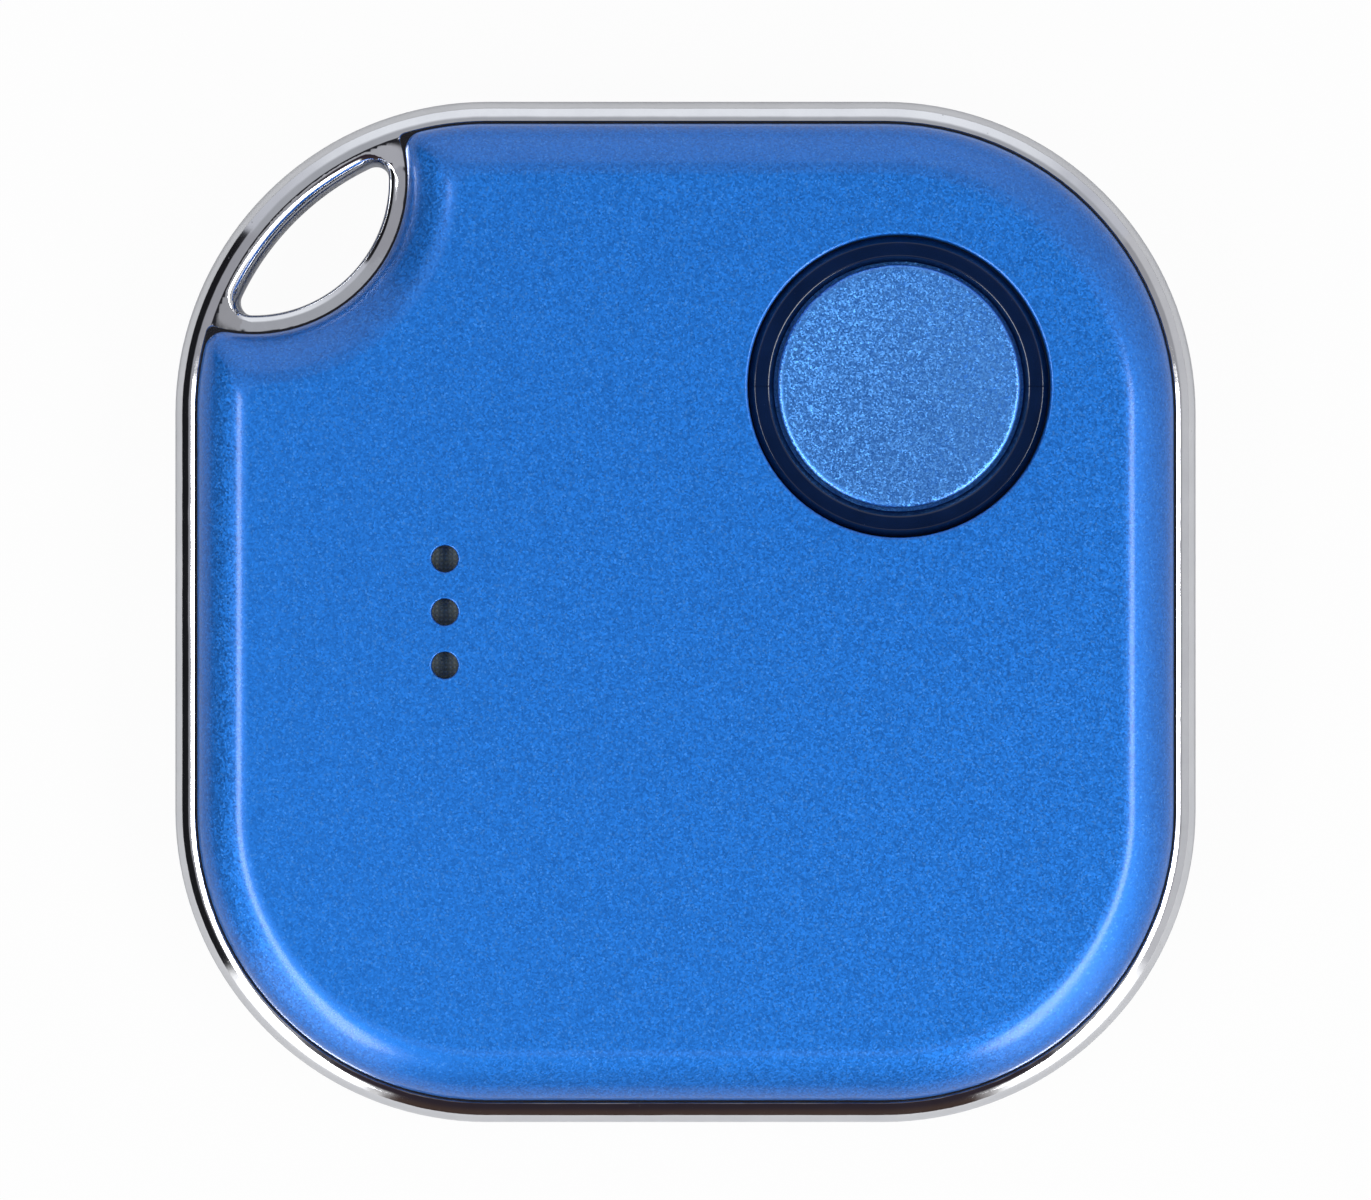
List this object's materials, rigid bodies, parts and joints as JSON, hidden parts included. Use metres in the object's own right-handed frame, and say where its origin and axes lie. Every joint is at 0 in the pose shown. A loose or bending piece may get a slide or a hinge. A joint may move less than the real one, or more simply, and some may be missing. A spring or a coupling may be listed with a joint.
{
  "type": "bluetooth tracker tag",
  "caption": "Rounded square bluetooth tracker tag with a plated loop frame, a ring-lit push button, a buzzer behind small sound holes and a sliding battery door.",
  "frame": {"origin": "middle of the back face, which the tag lies on", "axes": "+Z out of the front face, towards the button; +Y to the top edge; the key loop is at the -X +Y corner"},
  "size_m": [0.036, 0.036, 0.006],
  "materials": {
    "cover_paint": "satin metallic blue lacquer with a fine flake",
    "button_paint": "metallic blue lacquer with a coarser flake",
    "frame_chrome": "polished bright plating",
    "smoked_plastic": "smoked translucent, glossy",
    "screw_steel": "plated",
    "black_plastic": "moulded",
    "cell_steel": "nickel plated",
    "seal_rubber": "matt",
    "foam": "foam",
    "contact_metal": "spring strip",
    "mesh_cloth": "fine woven cloth",
    "buzzer_brass": "bright",
    "ceramic": "matt",
    "board_laminate": "solder resist over glass laminate",
    "led_resin": "clear resin over white",
    "chip_epoxy": "moulded epoxy",
    "crystal_can": "nickel lid",
    "inductor_ferrite": "ferrite",
    "capacitor_ceramic": "fired, tinned ends",
    "resistor_film": "glass coat, tinned ends"
  },
  "bodies": {
    "casing": {"front_cover": "cover_paint", "rear_cover": "cover_paint", "loop_frame": "frame_chrome", "light_ring": "smoked_plastic", "inner_tray": "black_plastic", "switch_housing": "black_plastic", "cell_can": "cell_steel", "cell_cap": "cell_steel", "cell_gasket": "seal_rubber", "buzzer_gasket": "foam", "positive_contact": "contact_metal", "negative_contact": "contact_metal", "buzzer_contact_1": "contact_metal", "buzzer_contact_2": "contact_metal", "switch_shield": "contact_metal", "buzzer_mesh": "mesh_cloth", "buzzer_plate": "buzzer_brass", "buzzer_ceramic": "ceramic", "chip_antenna": "ceramic", "circuit_board": "board_laminate", "led_1": "led_resin", "led_2": "led_resin", "led_3": "led_resin", "led_4": "led_resin", "led_5": "led_resin", "bluetooth_chip": "chip_epoxy", "buzzer_driver": "chip_epoxy", "main_crystal": "crystal_can", "clock_crystal": "crystal_can", "power_inductor": "inductor_ferrite", "bulk_capacitor": "capacitor_ceramic", "capacitor_1": "capacitor_ceramic", "capacitor_2": "capacitor_ceramic", "capacitor_3": "capacitor_ceramic", "capacitor_4": "capacitor_ceramic", "capacitor_5": "capacitor_ceramic", "capacitor_6": "capacitor_ceramic", "resistor_1": "resistor_film", "resistor_2": "resistor_film", "resistor_3": "resistor_film", "resistor_4": "resistor_film"},
    "button": {"button_cap": "button_paint", "switch_plunger": "black_plastic"},
    "door": {"battery_door": "cover_paint", "door_pad": "foam"},
    "screw": {"door_screw": "screw_steel"}
  },
  "joints": [
    {"name": "button_press", "type": "slide", "parent": "casing", "child": "button", "axis": [0, 0, -1], "range_m": [0, 0.00025], "stiffness_N_per_m": 3000, "springref_m": -0.0002},
    {"name": "door_slide", "type": "slide", "parent": "casing", "child": "door", "axis": [0, -1, 0], "range_m": [0, 0.024]},
    {"name": "screw_out", "type": "slide", "parent": "casing", "child": "screw", "axis": [0, 0, -1], "range_m": [0, 0.0021]}
  ]
}
